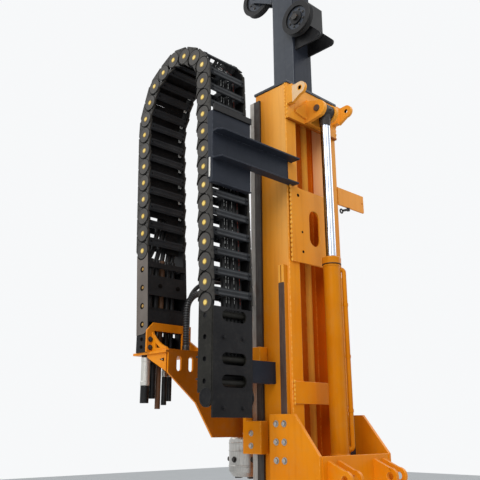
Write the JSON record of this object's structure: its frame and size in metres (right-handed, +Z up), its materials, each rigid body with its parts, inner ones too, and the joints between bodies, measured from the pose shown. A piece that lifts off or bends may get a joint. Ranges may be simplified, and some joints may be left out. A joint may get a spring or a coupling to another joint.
{
  "type": "core drilling rig mast",
  "caption": "Mast of a crawler core drilling rig with slide cylinder, rotation head, crown sheaves and an energy chain for the hoses.",
  "frame": {"origin": "middle of the tilt pivot's bores in the mast support", "axes": "+X across the mast, -Y towards the carrier, +Y towards the hole, +Z up along the mast"},
  "size_m": [1.267, 1.0969, 4.448],
  "materials": {
    "orange_paint": "orange paint, slightly worn",
    "dark_paint": "dark blue-grey paint",
    "black_plastic": "moulded black-grey plastic",
    "hose_rubber": "black hose cover",
    "chrome": "polished chrome",
    "worn_steel": "bare worn steel"
  },
  "bodies": {
    "support": {"support_side_left": "orange_paint", "support_side_right": "orange_paint", "support_back_plate": "orange_paint", "support_cross_beam": "orange_paint", "cylinder_base_lugs": "orange_paint", "cylinder_base_pin": "worn_steel", "tilt_pivot_lugs": "orange_paint", "tilt_cylinder_lugs": "orange_paint", "slide_shoes_left": "orange_paint", "slide_shoes_right": "orange_paint", "cylinder_barrel": "orange_paint", "cylinder_gland": "orange_paint", "cylinder_pipe": "orange_paint"},
    "cylinder_rod": {"cylinder_rod": "chrome", "rod_eye": "dark_paint"},
    "head": {"head_carriage": "orange_paint", "head_gearbox": "orange_paint", "head_motors": "dark_paint", "chain_bracket": "orange_paint", "moving_end_bracket": "black_plastic", "head_hoses": "hose_rubber", "corrugated_conduit": "hose_rubber", "motor_hose": "hose_rubber"},
    "spindle": {"spindle_and_chuck": "worn_steel"},
    "rear_sheave": {"rear_sheave": "dark_paint"},
    "front_sheave": {"front_sheave": "dark_paint"},
    "mast": {"chain_arm": "dark_paint", "chain_arm_plates": "dark_paint", "chain_bend": "black_plastic", "chain_fixed_run": "black_plastic", "chain_holder": "dark_paint", "chain_hoses": "hose_rubber", "chain_moving_run": "black_plastic", "clamp_cylinders": "orange_paint", "clevis_pin": "worn_steel", "crown_front_fork": "dark_paint", "crown_rear_bracket": "dark_paint", "crown_tube": "dark_paint", "eye_bolt": "dark_paint", "fixed_end_bracket": "black_plastic", "front_sheave_pin": "worn_steel", "guide_rail_left": "worn_steel", "guide_rail_right": "worn_steel", "mast_beam": "orange_paint", "mast_cap_plate": "dark_paint", "mast_cross_plates": "orange_paint", "mast_foot_plate": "orange_paint", "mast_head_plate": "orange_paint", "mast_lugs": "orange_paint", "mast_slot_plate": "orange_paint", "rear_sheave_pin": "worn_steel", "rod_clamp": "orange_paint", "rod_clevis": "orange_paint", "side_bar": "orange_paint", "slide_rail_left": "orange_paint", "slide_rail_right": "orange_paint", "wear_strip_left": "worn_steel", "wear_strip_right": "worn_steel"}
  },
  "joints": [
    {"name": "mast_slide", "type": "slide", "parent": "support", "child": "mast", "axis": [0, 0, 1], "range_m": [-0.67, 0.05]},
    {"name": "rod_slide", "type": "slide", "parent": "support", "child": "cylinder_rod", "axis": [0, 0, 1], "range_m": [-0.67, 0.05]},
    {"name": "head_feed", "type": "slide", "parent": "mast", "child": "head", "axis": [0, 0, 1], "range_m": [-1, 0]},
    {"name": "spindle_turn", "type": "hinge", "parent": "head", "child": "spindle", "pos_m": [0, 0.815, 0.9], "axis": [0, 0, 1], "continuous": true},
    {"name": "rear_sheave_turn", "type": "hinge", "parent": "mast", "child": "rear_sheave", "pos_m": [-0.114, 0.243, 3.172], "axis": [1, 0, 0], "continuous": true},
    {"name": "front_sheave_turn", "type": "hinge", "parent": "mast", "child": "front_sheave", "pos_m": [0, 0.687, 3.6], "axis": [1, 0, 0], "continuous": true}
  ],
  "couplings": [
    {"joint": "rod_slide", "follows": "mast_slide", "ratio": 1}
  ]
}
